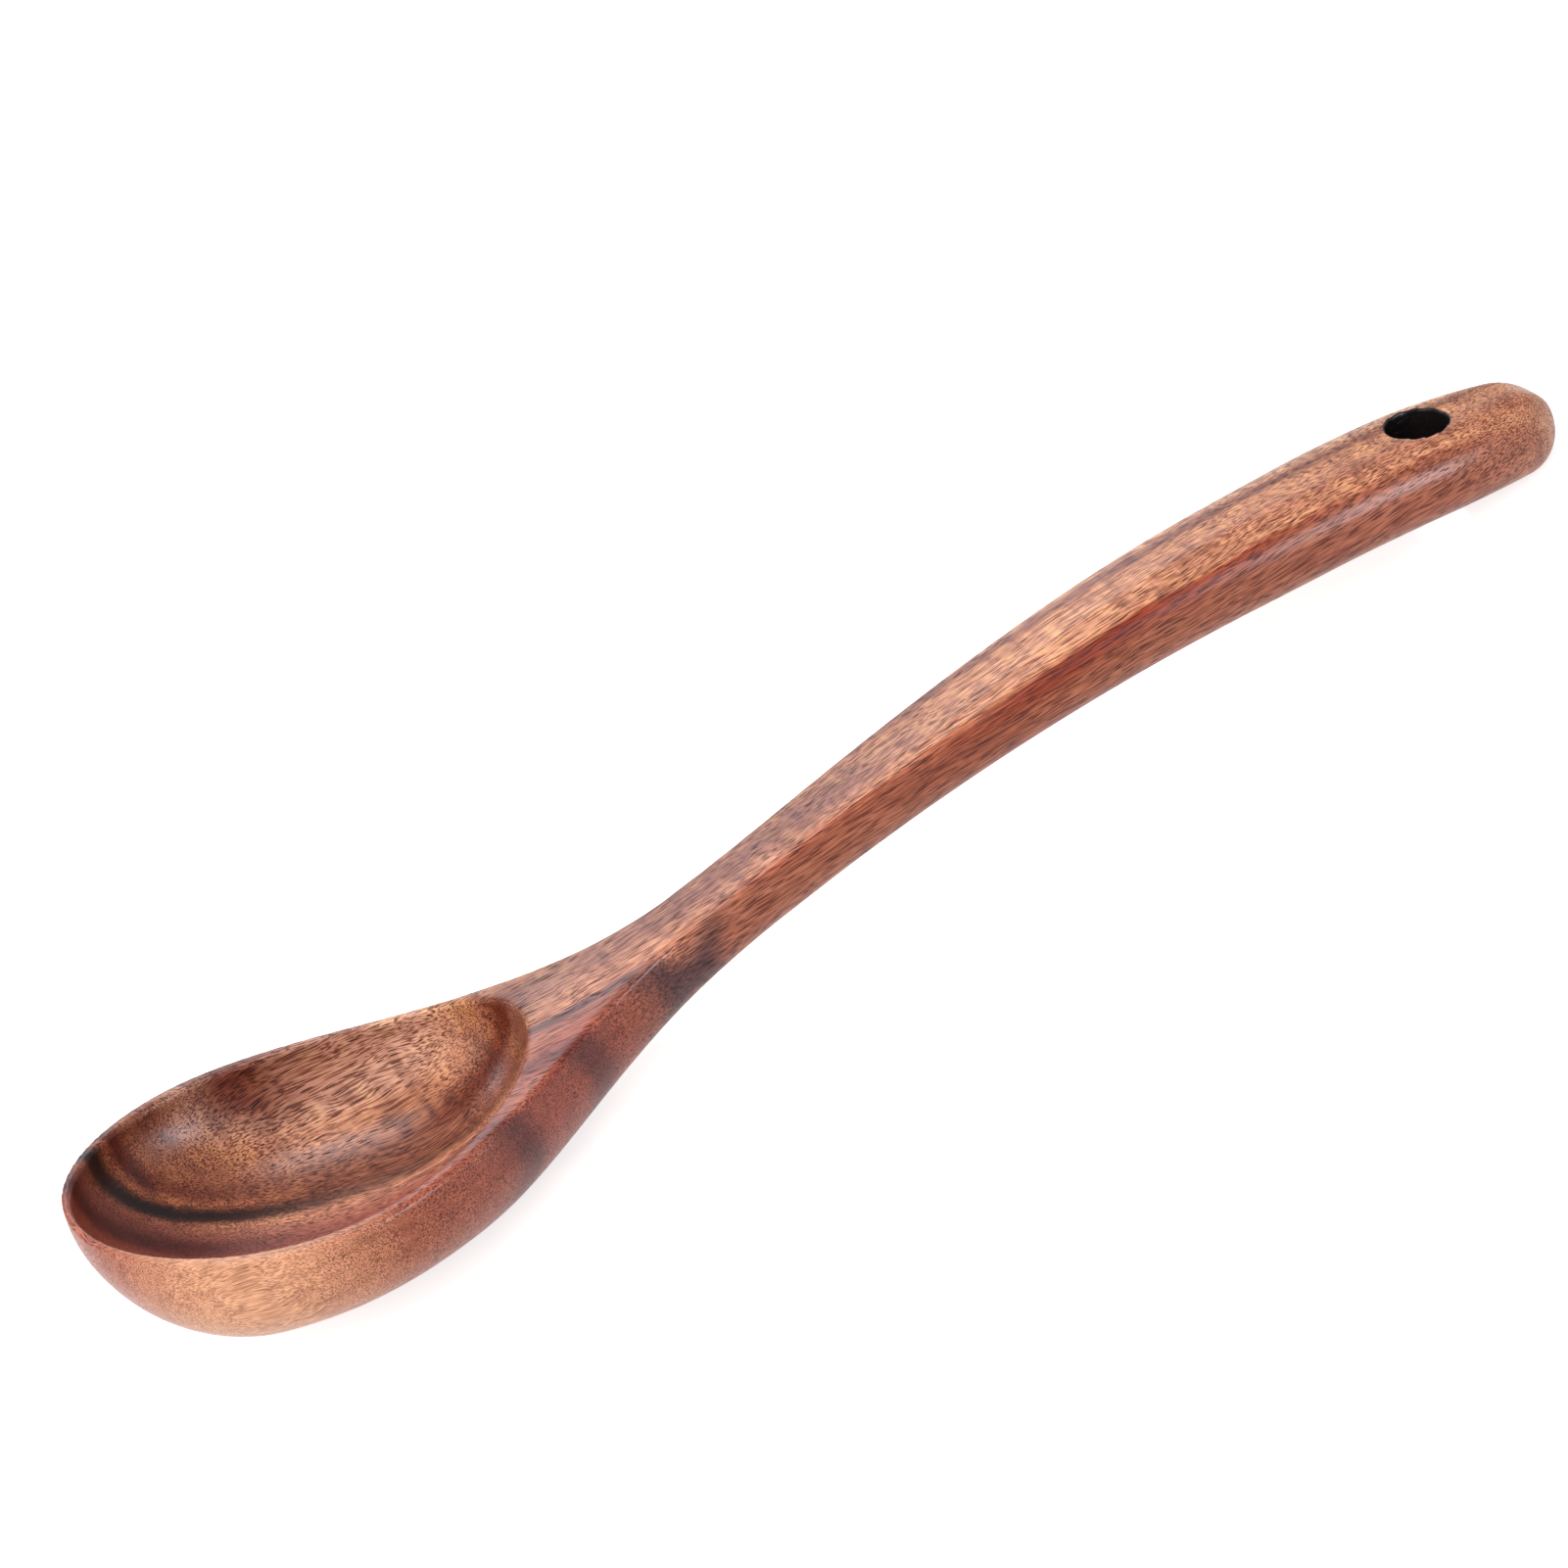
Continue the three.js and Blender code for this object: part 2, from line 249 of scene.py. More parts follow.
# The dark line that crosses the neck from its near side to the handle's far edge
CROSSING_NEAR, CROSSING_FAR = -7.6, 11.4
CROSSING_STARTS, CROSSING_ENDS = -42.0, -2.0
CROSSING_REACH = 2.8
CROSSING_ALONG = [(-54, 0), (-45, 1), (-36, 1), (-30, 0.35), (-22, 0.15), (6, 0.3), (26, 0)]

# Painted sheen on the flat land beside the hollow: a paler, bluer tint on its top face, by height
# above the table, distance across and along
LAND_SHEEN_TINT = (1.15, 1.6, 1.65, 1)
LAND_FROM, LAND_FULL = 23.4, 24.4
LAND_NEAR_FULL, LAND_NEAR_UNTIL = -9.0, -4.0
LAND_ALONG = [(-100, 0), (-92, 1), (-66, 1), (-56, 0)]

# Soft clouds, fine fibres and open pores. On the pale wood the dark fibres are weaker and the
# pores smaller.
CLOUD_FROM, CLOUD_FULL = 0.42, 0.7
CLOUD_IN_BOWL, CLOUD_ON_HANDLE = 0.25, 0.06
CLOUD_BOWL_UNTIL, CLOUD_HANDLE_FROM = -70.0, -50.0
FIBRE_TINT = (0.42, 0.3, 0.26, 1)
FIBRE_DARK_FROM, FIBRE_DARK_FULL = 0.5, 0.62
FIBRE_ON_PALE = 0.5
BRIGHT_TINT = (1.18, 1.25, 1.25, 1)
FIBRE_BRIGHT_FULL, FIBRE_BRIGHT_UNTIL = 0.34, 0.48
PORE_TINT = (0.15, 0.08, 0.08, 1)
CROWD_NONE, CROWD_FULL = 0.3, 0.62
PORE_REACH_SPARSE, PORE_REACH_CROWDED = 0.18, 0.32
PORE_ON_PALE = 0.65
PORE_CORE = 0.75

# Painted shade on the wall of the hanging hole, near black, and how far past the wall it reaches
# in millimetres
HOLE_SHADOW_SHADE = (20, 15, 14)
BORE_FULL, BORE_UNTIL = 0.2, 0.5

# Satin lacquer, a little rougher in the pores, and their depth in millimetres
LACQUER_IOR = 1.27
LACQUER_ROUGHNESS, PORE_ROUGHNESS = 0.33, 0.6
PORE_DEPTH = 0.08
BUMP_STRENGTH = 0.3

# Camera at the photograph's angle and roll, in degrees and metres, with its lens in millimetres
VIEW_AZIMUTH = 18.74
VIEW_ELEVATION = 32.74
VIEW_ROLL = -23.83
VIEW_DISTANCE = 1.5
VIEW_TARGET = Vector((0, 0, 0.010))
VIEW_SLIDE = (-0.01419, 0.01456)
LENS = 190.76
SENSOR = 36.0

# White studio: strengths of light, and the floor's size in metres
WHITE = (1, 1, 1, 1)
AMBIENT = 0.44
FLOOR_HALF_SIZE = 3.0
FLOOR_DROP = 0.0005
FLOOR_COLOUR = (0.8, 0.8, 0.8, 1)
FLOOR_GLOW = 0.75

# Lamps light the wood and cards only show in its gloss: name, place, width, height, watts, colour
WARM = (1.0, 0.98, 0.95)
COOL = (0.78, 0.89, 1.0)
LAMPS = [
    ("key", (-0.9, -0.6, 1.0), 1.3, 1.3, 17.0, WARM),
    ("overhead", (0.1, 0, 1.4), 0.5, 0.5, 6.0, WARM),
]
CARDS = [
    ("overhead card", (0.22, 0.06, 1.4), 0.5, 0.5, 9.0, COOL),
    ("back card", (0.4, 1.1, 0.75), 0.7, 0.7, 5.5, COOL),
    ("back left card", (-0.68, 0.80, 0.78), 0.35, 0.35, 4.0, COOL),
    ("front strip", (0.67, -0.95, 0.22), 0.28, 0.6, 15.0, COOL),
]


def lerp(a, b, share):
    return a + (b - a) * share


def s_curve(x, start, stop, lead=1.0):
    """From 0 to 1 between two stations; a lead above 1 leaves the start early."""
    left = 1 - np.clip((x - start) / (stop - start), 0, 1)
    share = 1 - left**lead
    return share * share * (3 - 2 * share)


def round_off(share, power=2.0):
    """Share of the full size that is left on the way out to a rounded end, 1 to 0."""
    return np.sqrt(np.maximum(0, 1 - np.clip(share, 0, 1) ** power))


def full_half_width(x):
    narrowing = s_curve(x, BOWL_WIDEST_FROM_TIP, NECK_FROM_TIP, SHOULDER_LEAD)
    bowl = lerp(BOWL_WIDTH, NECK_WIDTH, narrowing) / 2
    grip = lerp(NECK_WIDTH, GRIP_WIDTH, s_curve(x, NECK_FROM_TIP, GRIP_X)) / 2
    return np.where(x < NECK_FROM_TIP, bowl, grip)


def width_share(x):
    tip = round_off(1 - x / BOWL_WIDEST_FROM_TIP, TIP_POWER)
    end = round_off((x - GRIP_X) / GRIP_WIDEST_FROM_END, END_POWER)
    return np.where(x < BOWL_WIDEST_FROM_TIP, tip, end)


def top_height(x):
    """Level rim, lifted tip, rising handle with a drooping end."""
    lift = TIP_LIFT * np.maximum(0, 1 - x / TIP_LIFT_LENGTH) ** 2
    rise = HANDLE_RISE * s_curve(x, RISE_STARTS_FROM_TIP, SPOON_LENGTH - RISE_STOPS_FROM_END)
    droop_share = np.maximum(0, x - SPOON_LENGTH + DROOP_FROM_END) / DROOP_FROM_END
    return lift + rise - END_DROOP * droop_share**2


def grip_share(x):
    """Share of the way from the slim, crisp neck to the soft, rounded grip."""
    return s_curve(x, EDGE_SOFTENS_FROM_TIP, SPOON_LENGTH - EDGE_SOFT_FROM_END)


def neck_share(x):
    """Share of the way from the deep bowl to the slim neck."""
    return s_curve(x, BOWL_THICK_UNTIL, NECK_THIN_FROM, UNDERSIDE_LEAD)


def full_thickness(x):
    front = lerp(BOWL_THICKNESS, NECK_THICKNESS, neck_share(x))
    return front + (GRIP_THICKNESS - NECK_THICKNESS) * grip_share(x)


def edge_radius(x):
    radius = lerp(NECK_EDGE_RADIUS, GRIP_EDGE_RADIUS, grip_share(x))
    return np.minimum(np.minimum(radius, full_half_width(x)), full_thickness(x) / 2)


def heights(x):
    """Top and bottom height at a station, with the tip undercut and the end domed."""
    radius = edge_radius(x)
    shoulder = top_height(x) - radius
    top = shoulder + radius * round_off(1 - x / radius)
    bottom = shoulder - (full_thickness(x) - radius) * round_off(1 - x / TIP_UNDERCUT)
    dome = round_off(1 - (SPOON_LENGTH - x) / END_DOME_LENGTH)
    middle = (top + bottom) / 2
    return lerp(middle, top, dome), lerp(middle, bottom, dome)


def stations(count):
    """Stations crowd towards the tip and the end, where the outline turns fastest."""
    return SPOON_LENGTH * (1 - np.cos(np.pi * np.arange(1, count) / count)) / 2


def sections(x):
    """Closed rings round the blank, one for each station: flat top, rounded edges, hull."""
    x = x[:, None]
    top, bottom = heights(x)
    radius = edge_radius(x)
    share = width_share(x)
    half = full_half_width(x) * share
    squash = (top - bottom) / full_thickness(x)
    keel = lerp(BOWL_KEEL_WIDTH, GRIP_KEEL_WIDTH, grip_share(x)) / 2 * share
    edge = radius * share
    edge_drop = radius * squash
    full_hull = lerp(HULL_HEIGHT, HANDLE_UNDER_ROUND, neck_share(x))
    hull = np.minimum(full_hull, full_thickness(x) - radius) * squash
    turn = np.linspace(0, QUARTER, EDGE_STEPS + 1)
    edge_y = half - edge + edge * np.sin(turn)
    edge_z = top - edge_drop + edge_drop * np.cos(turn)
    turn = np.linspace(0, QUARTER, HULL_STEPS + 1)
    hull_y = keel + (half - keel) * np.cos(turn)
    hull_z = bottom + hull - hull * np.sin(turn)
    side_y = np.hstack([edge_y, hull_y])
    side_z = np.hstack([edge_z, hull_z])
    y = np.hstack([-side_y, side_y[:, ::-1]])
    z = np.hstack([side_z, side_z[:, ::-1]])
    return np.stack([np.broadcast_to(x, y.shape), y, z], axis=-1)


def mouth_half_width(x):
    """Half width of the hollow's mouth: the outline less the rim, closed by a round back."""
    inside = full_half_width(x) - RIM_WIDTH
    tip_reach = BOWL_WIDEST_FROM_TIP - RIM_WIDTH_AT_TIP
    tip = round_off((BOWL_WIDEST_FROM_TIP - x) / tip_reach, TIP_POWER)
    back_reach = HOLLOW_BACK_FROM_TIP - BOWL_WIDEST_FROM_TIP
    back = round_off((x - BOWL_WIDEST_FROM_TIP) / back_reach, HOLLOW_BACK_POWER)
    return inside * np.where(x < BOWL_WIDEST_FROM_TIP, tip, back)


def mouth_middle(x):
    """The carver let the back of the hollow drift to one side of the centre line."""
    share = (x - BOWL_WIDEST_FROM_TIP) / (HOLLOW_BACK_FROM_TIP - BOWL_WIDEST_FROM_TIP)
    return HOLLOW_BACK_ASIDE * np.clip(share, 0, 1) ** ASIDE_POWER


def hollow_rings():
    """Rings of the hollow's cutter: up the wall, round the eased rim and past it."""
    middle = (RIM_WIDTH_AT_TIP + HOLLOW_BACK_FROM_TIP) / 2
    reach = (HOLLOW_BACK_FROM_TIP - RIM_WIDTH_AT_TIP) / 2
    half_mouth = BOWL_WIDTH / 2 - RIM_WIDTH
    turn = 2 * np.pi * np.arange(HOLLOW_SPOKES) / HOLLOW_SPOKES
    mouth_x = middle + reach * np.cos(turn)
    mouth_y = mouth_middle(mouth_x) + np.sign(np.sin(turn)) * mouth_half_width(mouth_x)

    def ring(share, grow, height):
        x = middle + (mouth_x - middle) * share * (1 + grow / reach)
        y = mouth_y * share * (1 + grow / half_mouth)
        return np.stack([x, y, top_height(x) + height], axis=-1)

    rings = []
    for share in np.sin(QUARTER * np.arange(1, HOLLOW_RINGS + 1) / HOLLOW_RINGS):
        depth = (HOLLOW_DEPTH - RIM_EASE) * round_off(share, HOLLOW_WALL_POWER)
        rings.append(ring(share, 0, -RIM_EASE - depth))
    for turn_share in np.arange(1, EASE_STEPS + 1) / EASE_STEPS:
        out = RIM_EASE * (1 - math.cos(QUARTER * turn_share))
        drop = RIM_EASE * (1 - math.sin(QUARTER * turn_share))
        rings.append(ring(1, out, -drop))
    rings.append(ring(1, RIM_EASE, CUT_PAST))
    floor = (middle, 0, top_height(middle) - HOLLOW_DEPTH)
    above = (middle, 0, top_height(middle) + CUT_PAST)
    return floor, np.array(rings), above


def rest_tilt():
    """Angle that lays the planed flat and the handle's end on one table, and its height."""
    x = stations(REST_STATIONS)
    z = heights(x)[1]
    front = x < NECK_FROM_TIP
    tilt = 0.0
    for _ in range(REST_PASSES):
        height = z * math.cos(tilt) - x * math.sin(tilt)
        bowl = np.argmin(np.where(front, height, np.inf))
        foot = np.argmin(np.where(front, np.inf, height))
        climb = math.hypot(x[foot] - x[bowl], z[foot] - z[bowl])
        tilt = math.atan2(z[foot] - z[bowl], x[foot] - x[bowl]) - math.asin(FLAT_DEPTH / climb)
    return tilt, z[foot] * math.cos(tilt) - x[foot] * math.sin(tilt)


def new_object(name, points, faces):
    mesh = bpy.data.meshes.new(name)
    mesh.from_pydata([tuple(p) for p in points], [], faces)
    mesh.update()
    obj = bpy.data.objects.new(name, mesh)
    bpy.context.collection.objects.link(obj)
    return obj


def skin(name, start, rings, end):
    """Closed skin over rings of equal count, with a point at each end."""
    ring_count, count = rings.shape[:2]
    points = [start, *rings.reshape(-1, 3), end]
    last = len(points) - 1
    faces = []
    for i in range(count):
        j = (i + 1) % count
        faces.append((0, 1 + j, 1 + i))
        faces.append((last, last - count + i, last - count + j))
        for ring in range(ring_count - 1):
            low = 1 + ring * count
            high = low + count
            faces.append((low + i, low + j, high + j, high + i))
    return new_object(name, points, faces)


def hole_place():
    """Middle of the hanging hole, with its axis square to the top face there."""
    rise = float(top_height(HOLE_X + SLOPE_STEP) - top_height(HOLE_X - SLOPE_STEP))
    slope = rise / (2 * SLOPE_STEP)
    top, bottom = heights(HOLE_X)
    lean = Matrix.Rotation(-math.atan(slope), 4, "Y")
    return Matrix.Translation((HOLE_X, 0, float(top + bottom) / 2)) @ lean


def drill():
    """Cutter of the hanging hole."""
    place = hole_place()
    half_length = float(full_thickness(HOLE_X)) / 2 + CUT_PAST
    turn = 2 * np.pi * np.arange(HOLE_SIDES) / HOLE_SIDES
    ring = HOLE_DIAMETER / 2 * np.stack([np.cos(turn), np.sin(turn)], axis=-1)
    levels = (-half_length, half_length)
    rings = np.array([[place @ Vector((*spot, level)) for spot in ring] for level in levels])
    ends = [place @ Vector((0, 0, level)) for level in levels]
    return skin("drill", ends[0], rings, ends[1])


def apply_modifiers(obj):
    evaluated = obj.evaluated_get(bpy.context.evaluated_depsgraph_get())
    made = bpy.data.meshes.new_from_object(evaluated)
    obj.modifiers.clear()
    obj.data = made


def cut(obj, cutter):
    modifier = obj.modifiers.new("cut", "BOOLEAN")
    modifier.operation = "DIFFERENCE"
    modifier.solver = "EXACT"
    modifier.object = cutter
    apply_modifiers(obj)
    bpy.data.objects.remove(cutter)


def get_points(obj):
    flat = np.empty(len(obj.data.vertices) * 3)
    obj.data.vertices.foreach_get("co", flat)
    return flat.reshape(-1, 3)


def set_points(obj, points):
    obj.data.vertices.foreach_set("co", points.astype(np.float32).ravel())
    obj.data.update()


def carve():
    """The spoon as one mesh, in millimetres and as it is drawn."""
    x = stations(STATIONS)
    tip = (0, 0, float(heights(0.0)[1]))
    end = (SPOON_LENGTH, 0, float(heights(SPOON_LENGTH)[1]))
    spoon = skin("spoon_wood", tip, sections(x), end)
    cut(spoon, skin("hollow", *hollow_rings()))
    cut(spoon, drill())
    return spoon


def lay_on_table(spoon):
    """Tip the carving onto the table, plane its flat, and give the move that did it."""
    tilt, table = rest_tilt()
    turn = Matrix.Rotation(tilt, 4, "Y")
    points = get_points(spoon) @ np.array(turn.to_3x3()).T
    middle = (points[:, 0].max() + points[:, 0].min()) / 2
    set_points(spoon, points - (middle, 0, table))
    box_low = np.array((-HALF_LENGTH, -BOWL_WIDTH / 2, -CUT_PAST))
    box_high = np.array((NECK_FROM_TIP - HALF_LENGTH, BOWL_WIDTH / 2, 0))
    corners = [(x, y, z) for x in (0, 1) for y in (0, 1) for z in (0, 1)]
    points = [lerp(box_low, box_high, np.array(corner)) for corner in corners]
    faces = [(0, 1, 3, 2), (4, 6, 7, 5), (0, 4, 5, 1), (2, 3, 7, 6), (0, 2, 6, 4), (1, 5, 7, 3)]
    cut(spoon, new_object("plane", points, faces))
    return Matrix.Translation((-middle, 0, -table)) @ turn


def even_out(spoon):
    """Even quads, with every arris softened as by sanding."""
    remesh = spoon.modifiers.new("even", "REMESH")
    remesh.mode = "VOXEL"
    remesh.voxel_size = VOXEL
    smooth = spoon.modifiers.new("sand", "SMOOTH")
    smooth.factor = SMOOTH_FACTOR
    smooth.iterations = SMOOTH_PASSES
    apply_modifiers(spoon)


def fit_in_box(spoon, box):
    """Scale to metres inside the solid part's box, centred along and across, on the table."""
    points = get_points(spoon) * MM
    low, high = np.array(box[0]), np.array(box[1])
    scale = np.minimum(1, (high - low) / np.ptp(points, axis=0))
    points = (points - points.min(axis=0)) * scale
    spare = (high - low) - np.ptp(points, axis=0)
    set_points(spoon, points + low + spare * (0.5, 0.5, 0))


def srgb(shade):
    """Linear colour of a shade that is written as it looks, red, green and blue from 0 to 255."""
    share = np.array(shade) / 255
    linear = np.where(share < 0.04045, share / 12.92, ((share + 0.055) / 1.055) ** 2.4)
    return (*linear.tolist(), 1.0)


class Graph:
    """Short calls for shader nodes. A value is a number, a colour or another node's socket."""

    def __init__(self, tree):
        self.tree = tree

    def feed(self, socket, value):
        if isinstance(value, bpy.types.NodeSocket):
            self.tree.links.new(value, socket)
        else:
            socket.default_value = value

    def node(self, kind, inputs, **settings):
        made = self.tree.nodes.new(kind)
        for name, value in settings.items():
            setattr(made, name, value)
        for socket, value in inputs.items():
            self.feed(made.inputs[socket], value)
        return made

    def math(self, operation, *values):
        made = self.node("ShaderNodeMath", dict(enumerate(values)), operation=operation)
        return made.outputs[0]

    def vector_math(self, operation, *values):
        made = self.node("ShaderNodeVectorMath", dict(enumerate(values)), operation=operation)
        return made.outputs["Value" if operation == "LENGTH" else "Vector"]

    def total(self, *values):
        so_far = values[0]
        for value in values[1:]:
            so_far = self.math("ADD", so_far, value)
        return so_far

    def times(self, *values):
        so_far = values[0]
        for value in values[1:]:
            so_far = self.math("MULTIPLY", so_far, value)
        return so_far

    def swing(self, noise, reach):
        """A noise turned into a shift to either side."""
        return self.times(self.math("SUBTRACT", noise, 0.5), 2 * reach)

    def remap(self, value, start, stop, low=0.0, high=1.0):
        """Smooth step from low at start to high at stop."""
        inputs = {"Value": value, 1: start, 2: stop, 3: low, 4: high}
        made = self.node("ShaderNodeMapRange", inputs, interpolation_type="SMOOTHSTEP")
        return made.outputs[0]

    def fade(self, value, start, stop):
        """Smooth step from 1 at start to 0 at stop."""
        return self.remap(value, start, stop, 1.0, 0.0)

    def point(self, values, sizes):
        """Point in a texture whose features have about these sizes."""
        scaled = [self.times(value, 1 / size) for value, size in zip(values, sizes)]
        return self.node("ShaderNodeCombineXYZ", dict(enumerate(scaled))).outputs[0]

    def noise(self, values, sizes, detail, roughness):
        point = self.point(values, sizes)
        inputs = {"Vector": point, "Scale": 1.0, "Detail": detail, "Roughness": roughness}
        return self.node("ShaderNodeTexNoise", inputs).outputs[0]

    def cells(self, values, sizes):
        """Distance to the nearest of many scattered points."""
        inputs = {"Vector": self.point(values, sizes), "Scale": 1.0}
        return self.node("ShaderNodeTexVoronoi", inputs).outputs["Distance"]

    def ramp(self, value, low, high, stops):
        """Colours at places between low and high."""
        share = self.node("ShaderNodeMapRange", {"Value": value, 1: low, 2: high}).outputs[0]
        made = self.node("ShaderNodeValToRGB", {0: share})
        elements = made.color_ramp.elements
        while len(elements) < len(stops):
            elements.new(1.0)
        for element, (place, colour) in zip(elements, stops):
            element.position = (place - low) / (high - low)
            element.color = colour
        return made.outputs[0]

    def profile(self, value, low, high, stops):
        """Numbers from 0 to 1 at places between low and high."""
        return self.ramp(value, low, high, [(place, (n, n, n, 1)) for place, n in stops])

    def blend(self, share, under, over, kind="MIX"):
        inputs = {0: share, 6: under, 7: over}
        made = self.node("ShaderNodeMix", inputs, data_type="RGBA", blend_type=kind)
        return made.outputs[2]

    def tint(self, share, under, filter_colour):
        """The colour as seen through a filter, by this share."""
        return self.blend(share, under, filter_colour, "MULTIPLY")


# Sockets in millimetres: the place on the spoon, then distance along it, across the growth
# sheets before and after they wander, and up from the table
Grain = namedtuple("Grain", "place x across sheet z")


def run_of_grain(g):
    """Growth sheets that drift across the bowl, bend at the neck and lean."""
    metres = g.node("ShaderNodeTexCoord", {}).outputs["Object"]
    place = g.vector_math("MULTIPLY", metres, (1 / MM, 1 / MM, 1 / MM))
    x, y, z = g.node("ShaderNodeSeparateXYZ", {0: place}).outputs
    past_bend = g.math("SUBTRACT", x, GRAIN_BENDS_AT)
    bend = g.math("SQRT", g.math("MULTIPLY_ADD", past_bend, past_bend, GRAIN_BEND_LENGTH**2))
    mean_slope = (GRAIN_SLOPE_BOWL + GRAIN_SLOPE_HANDLE) / 2
    half_change = (GRAIN_SLOPE_BOWL - GRAIN_SLOPE_HANDLE) / 2
    drift = g.math("SUBTRACT", g.times(past_bend, mean_slope), g.times(bend, half_change))
    far_lean = g.remap(x, BOWL_LEAN_UNTIL, HANDLE_LEAN_FROM, SHEET_LEAN_IN_BOWL, SHEET_LEAN)
    lean = g.remap(y, LEAN_TURNS_FROM, LEAN_TURNS_TO, SHEET_LEAN, far_lean)
    leaning = g.times(lean, g.math("SUBTRACT", z, LEAN_PIVOT_HEIGHT))
    across = g.total(y, drift, leaning)
    wander = g.swing(g.noise((x, across, z), *WANDER), WANDER_REACH)
    return Grain(place, x, across, g.total(across, wander), z)


def along(g, grain, stops):
    """Strength by distance along the spoon."""
    return g.profile(grain.x, -HALF_LENGTH, HALF_LENGTH, stops)


def across_board(g, grain, stops):
    """Strength by distance across the growth sheets."""
    return g.profile(grain.sheet, BOARD_LOW, BOARD_HIGH, stops)


def pale_share(g, grain):
    """Share of the pale wood on the near side of the bowl's tip."""
    near = g.fade(grain.sheet, PALE_ACROSS_FULL, PALE_ACROSS_UNTIL)
    return g.times(along(g, grain, PALE_ALONG), near)


def board_colour(g, grain, pale):
    """Broad tone of the board, its pale wood and its darker heart."""
    tones = [(place, srgb(shade)) for place, shade in BOARD_SHADES]
    colour = g.ramp(grain.sheet, BOARD_LOW, BOARD_HIGH, tones)
    colour = g.blend(pale, colour, srgb(PALE_SHADE))
    in_bowl = g.fade(grain.x, HEART_FULL, HEART_UNTIL)
    heart = g.times(in_bowl, across_board(g, grain, HEART_ACROSS))
    return g.tint(heart, colour, HEART_TINT)


def with_ripple(g, grain, colour):
    """Light and dark ripple across the grain."""
    ripple = g.noise((grain.x, grain.across, grain.z), *RIPPLE)
    figured = across_board(g, grain, FIGURED_ACROSS)
    light = g.remap(ripple, RIPPLE_EVEN, RIPPLE_LIGHT)
    colour = g.tint(g.times(light, figured), colour, RIPPLE_BRIGHT)
    dark = g.remap(ripple, RIPPLE_DARK, RIPPLE_EVEN, RIPPLE_DARK_SHARE, 0.0)
    return g.tint(g.times(dark, figured), colour, STREAK_TINT)


def with_growth_lines(g, grain, colour):
    """Streaks along the grain, then the growth lines with frayed edges."""
    sheet_place = (grain.x, grain.sheet, grain.z)
    streak = g.remap(g.noise(sheet_place, *STREAKS), STREAK_FROM, STREAK_FULL, 0.0, STREAK_SHARE)
    colour = g.tint(streak, colour, STREAK_TINT)
    frayed = g.total(grain.sheet, g.swing(g.noise(sheet_place, *FRAY), FRAY_REACH))
    crossing = g.remap(grain.x, CROSSING_STARTS, CROSSING_ENDS, CROSSING_NEAR, CROSSING_FAR)
    crossing_line = (crossing, CROSSING_REACH, CROSSING_REACH, SLATE, CROSSING_ALONG)
    for centre, near_reach, far_reach, tint, stops in [*GROWTH_LINES, crossing_line]:
        off = g.math("SUBTRACT", frayed, centre)
        near_side = g.remap(off, -near_reach, -LINE_CORE * near_reach)
        far_side = g.fade(off, LINE_CORE * far_reach, far_reach)
        colour = g.tint(g.times(near_side, far_side, along(g, grain, stops)), colour, tint)
    return colour


def with_land_sheen(g, grain, colour):
    """Painted sheen: the top of the flat land beside the hollow is tinted paler and bluer than the
    side below it.
    """
    high = g.remap(grain.z, LAND_FROM, LAND_FULL)
    near = g.fade(grain.sheet, LAND_NEAR_FULL, LAND_NEAR_UNTIL)
    return g.tint(g.times(high, near, along(g, grain, LAND_ALONG)), colour, LAND_SHEEN_TINT)


def fibre_place(g, grain):
    """Place among the fibres, which wave along the grain and turn aside at the tip."""
    wave = g.swing(g.noise((grain.x, grain.across, grain.z), *WAVE), WAVE_REACH)
    calm = g.remap(grain.x, WAVE_BOWL_UNTIL, WAVE_HANDLE_FROM, 1.0, WAVE_ON_HANDLE)
    wave = g.times(wave, calm)
    past = g.math("MINIMUM", g.math("SUBTRACT", grain.x, TIP_TURN_FROM), 0)
    slope = g.remap(grain.across, TIP_TURN_NONE, TIP_TURN_FULL, 0.0, TIP_TURN_SLOPE)
    turn = g.times(past, slope)
    return grain.x, g.total(grain.across, wave, turn), g.total(grain.z, wave)


def with_fibres(g, grain, fibres, pale, colour):
    """Soft clouds, then fine dark and bright fibres."""
    cloud = g.remap(g.noise(fibres, *CLOUD), CLOUD_FROM, CLOUD_FULL)
    cover = g.remap(grain.x, CLOUD_BOWL_UNTIL, CLOUD_HANDLE_FROM, CLOUD_IN_BOWL, CLOUD_ON_HANDLE)
    colour = g.tint(g.times(cloud, cover), colour, STREAK_TINT)
    fibre = g.noise(fibres, *FIBRE)
    dark = g.remap(fibre, FIBRE_DARK_FROM, FIBRE_DARK_FULL)
    kept = g.remap(pale, 0.0, 1.0, 1.0, FIBRE_ON_PALE)
    colour = g.tint(g.times(dark, kept), colour, FIBRE_TINT)
    bright = g.fade(fibre, FIBRE_BRIGHT_FULL, FIBRE_BRIGHT_UNTIL)
    return g.tint(bright, colour, BRIGHT_TINT)


def pore_share(g, grain, fibres, pale):
    """Open pores: dashes along the grain, dots where the face cuts across it."""
    spread = g.cells(fibres, PORE_SPACING)
    crowd = g.noise((grain.x, grain.across, grain.z), *CROWD)
    reach = g.remap(crowd, CROWD_NONE, CROWD_FULL, PORE_REACH_SPARSE, PORE_REACH_CROWDED)
    reach = g.times(reach, g.remap(pale, 0.0, 1.0, 1.0, PORE_ON_PALE))
    return g.fade(g.math("DIVIDE", spread, reach), PORE_CORE, 1.0)


def hole_shadow_share(g, grain, hole_middle, hole_axis):
    """Share of the painted shade on the hanging hole's wall, by distance from the hole's axis."""
    from_hole = g.vector_math("SUBTRACT", grain.place, tuple(hole_middle))
    off_axis = g.vector_math("LENGTH", g.vector_math("CROSS_PRODUCT", from_hole, tuple(hole_axis)))
    return g.fade(off_axis, HOLE_DIAMETER / 2 + BORE_FULL, HOLE_DIAMETER / 2 + BORE_UNTIL)


